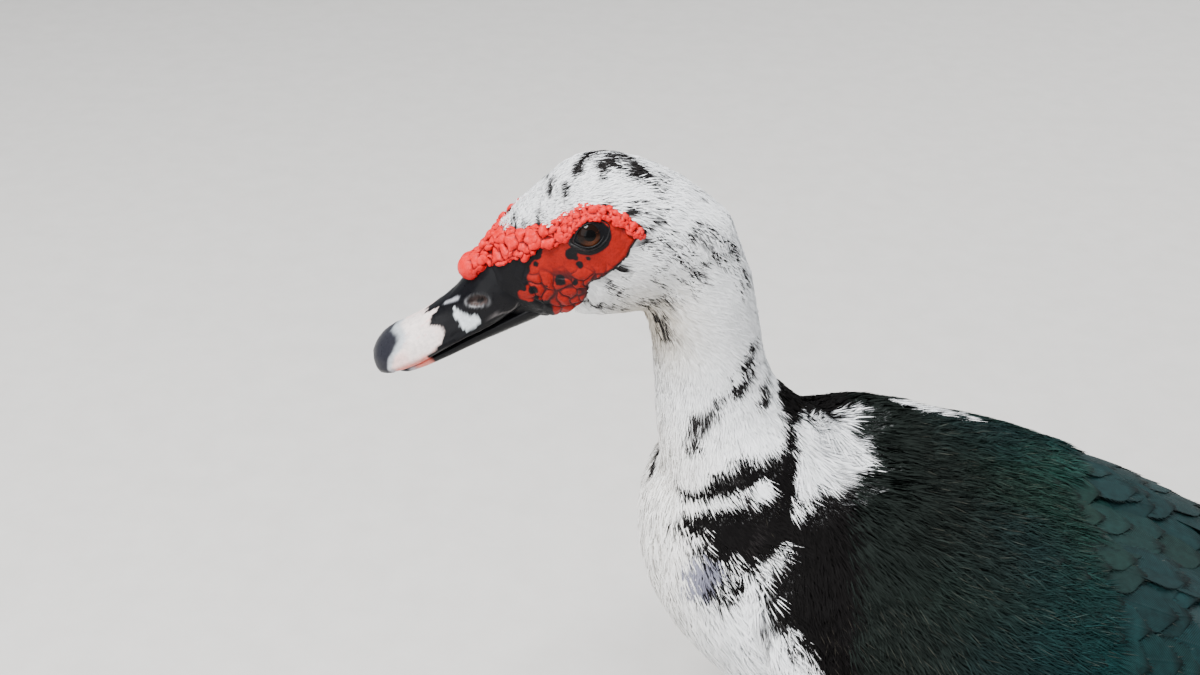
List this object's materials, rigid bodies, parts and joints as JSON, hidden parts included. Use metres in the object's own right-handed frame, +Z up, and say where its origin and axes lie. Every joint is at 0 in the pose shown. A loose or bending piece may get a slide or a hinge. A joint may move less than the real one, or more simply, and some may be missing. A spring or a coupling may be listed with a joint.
{
  "type": "muscovy duck",
  "caption": "Pied muscovy drake standing still on webbed feet, white head and neck, bare red face with caruncles, dark glossy back and folded wings.",
  "frame": {"origin": "on the floor, under the middle of the whole bird's bounding box", "axes": "+Z up; the bird faces -X, with its tail towards +X; its left side is towards -Y and its right side towards +Y"},
  "size_m": [0.6728, 0.2, 0.3419],
  "materials": {
    "plumage_white": "matt white feathering, close and smooth",
    "plumage_dark": "brown-black feathering with a green and blue sheen",
    "bill": "satin black horn with pale pink and white patches",
    "caruncle": "bare coral-red beaded skin",
    "eye": "wet, dark brown iris and black pupil",
    "leg": "scaled dull yellow-olive skin",
    "claw": "satin dark horn"
  },
  "bodies": {
    "root": {"back_and_belly": "plumage_dark", "bill_lower": "bill", "bill_nail": "bill", "bill_upper": "bill", "breast": "plumage_white", "caruncle_knob": "caruncle", "caruncle_left": "caruncle", "caruncle_right": "caruncle", "claw_inner_left": "claw", "claw_inner_right": "claw", "claw_middle_left": "claw", "claw_middle_right": "claw", "claw_outer_left": "claw", "claw_outer_right": "claw", "eye_left": "eye", "eye_right": "eye", "foot_left": "leg", "foot_right": "leg", "head": "plumage_white", "neck": "plumage_white", "primaries_left": "plumage_dark", "primaries_right": "plumage_dark", "rump": "plumage_dark", "shank_left": "leg", "shank_right": "leg", "tail": "plumage_dark", "thigh_left": "plumage_white", "thigh_right": "plumage_white", "wing_left": "plumage_dark", "wing_right": "plumage_dark"}
  },
  "joints": []
}
